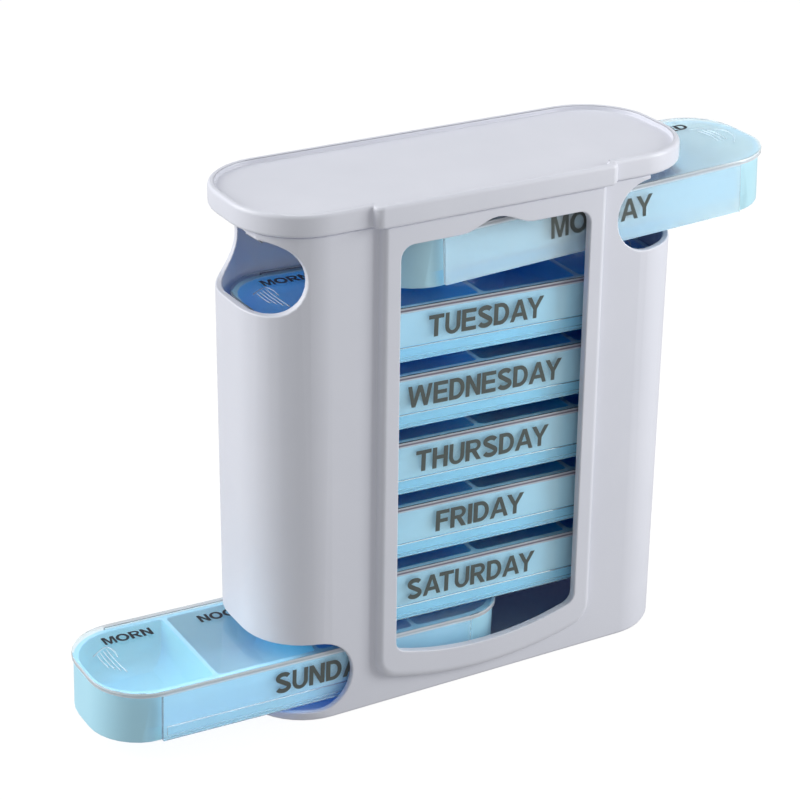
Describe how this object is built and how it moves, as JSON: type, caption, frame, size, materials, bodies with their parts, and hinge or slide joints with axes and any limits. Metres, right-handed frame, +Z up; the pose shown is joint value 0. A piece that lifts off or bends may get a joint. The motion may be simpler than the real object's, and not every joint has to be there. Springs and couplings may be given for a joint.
{
  "type": "pill organizer tower",
  "caption": "Upright pill organizer: a windowed case with a lift-off cap holds a stack of lidded compartment trays that slide out at either end.",
  "frame": {"origin": "centre of the case's flat base", "axes": "+X to the loading notch end, -Y out of the front window, +Z up"},
  "size_m": [0.1715, 0.0414, 0.122],
  "materials": {
    "case_white": "satin moulded",
    "tray_blue": "translucent satin",
    "lid_clear": "clear polished"
  },
  "bodies": {
    "tower": {"tower_case": "case_white"},
    "cap": {"top_cap": "case_white"},
    "sunday": {"sunday_tray": "tray_blue"},
    "sunday_cover": {"sunday_lid": "lid_clear"},
    "monday": {"monday_tray": "tray_blue"},
    "monday_cover": {"monday_lid": "lid_clear"},
    "tuesday": {"tuesday_tray": "tray_blue", "tuesday_lid": "lid_clear"},
    "wednesday": {"wednesday_tray": "tray_blue", "wednesday_lid": "lid_clear"},
    "thursday": {"thursday_tray": "tray_blue", "thursday_lid": "lid_clear"},
    "friday": {"friday_tray": "tray_blue", "friday_lid": "lid_clear"},
    "saturday": {"saturday_tray": "tray_blue", "saturday_lid": "lid_clear"}
  },
  "joints": [
    {"name": "cap_lift", "type": "slide", "parent": "tower", "child": "cap", "axis": [0, 0, 1], "range_m": [0, 0.03]},
    {"name": "sunday_tray_slide", "type": "slide", "parent": "tower", "child": "sunday", "axis": [-0.9998, 0, 0.0196], "range_m": [-0.0408, 0.06]},
    {"name": "sunday_lid_slide", "type": "slide", "parent": "sunday", "child": "sunday_cover", "axis": [-0.9996, 0, 0.0297], "range_m": [0, 0.075]},
    {"name": "monday_tray_slide", "type": "slide", "parent": "tower", "child": "monday", "axis": [0.9998, 0, 0.0174], "range_m": [-0.0288, 0.07]},
    {"name": "monday_lid_slide", "type": "slide", "parent": "monday", "child": "monday_cover", "axis": [0.999, 0, 0.0436], "range_m": [0, 0.075]},
    {"name": "tuesday_end_play", "type": "slide", "parent": "tower", "child": "tuesday", "axis": [0.9996, 0, -0.0297], "range_m": [-0.0008, 0.0008]},
    {"name": "wednesday_end_play", "type": "slide", "parent": "tower", "child": "wednesday", "axis": [0.9996, 0, -0.0297], "range_m": [-0.0008, 0.0008]},
    {"name": "thursday_end_play", "type": "slide", "parent": "tower", "child": "thursday", "axis": [0.9996, 0, -0.0297], "range_m": [-0.0008, 0.0008]},
    {"name": "friday_end_play", "type": "slide", "parent": "tower", "child": "friday", "axis": [0.9996, 0, -0.0297], "range_m": [-0.0008, 0.0008]},
    {"name": "saturday_end_play", "type": "slide", "parent": "tower", "child": "saturday", "axis": [0.9996, 0, -0.0297], "range_m": [-0.0008, 0.0008]}
  ]
}
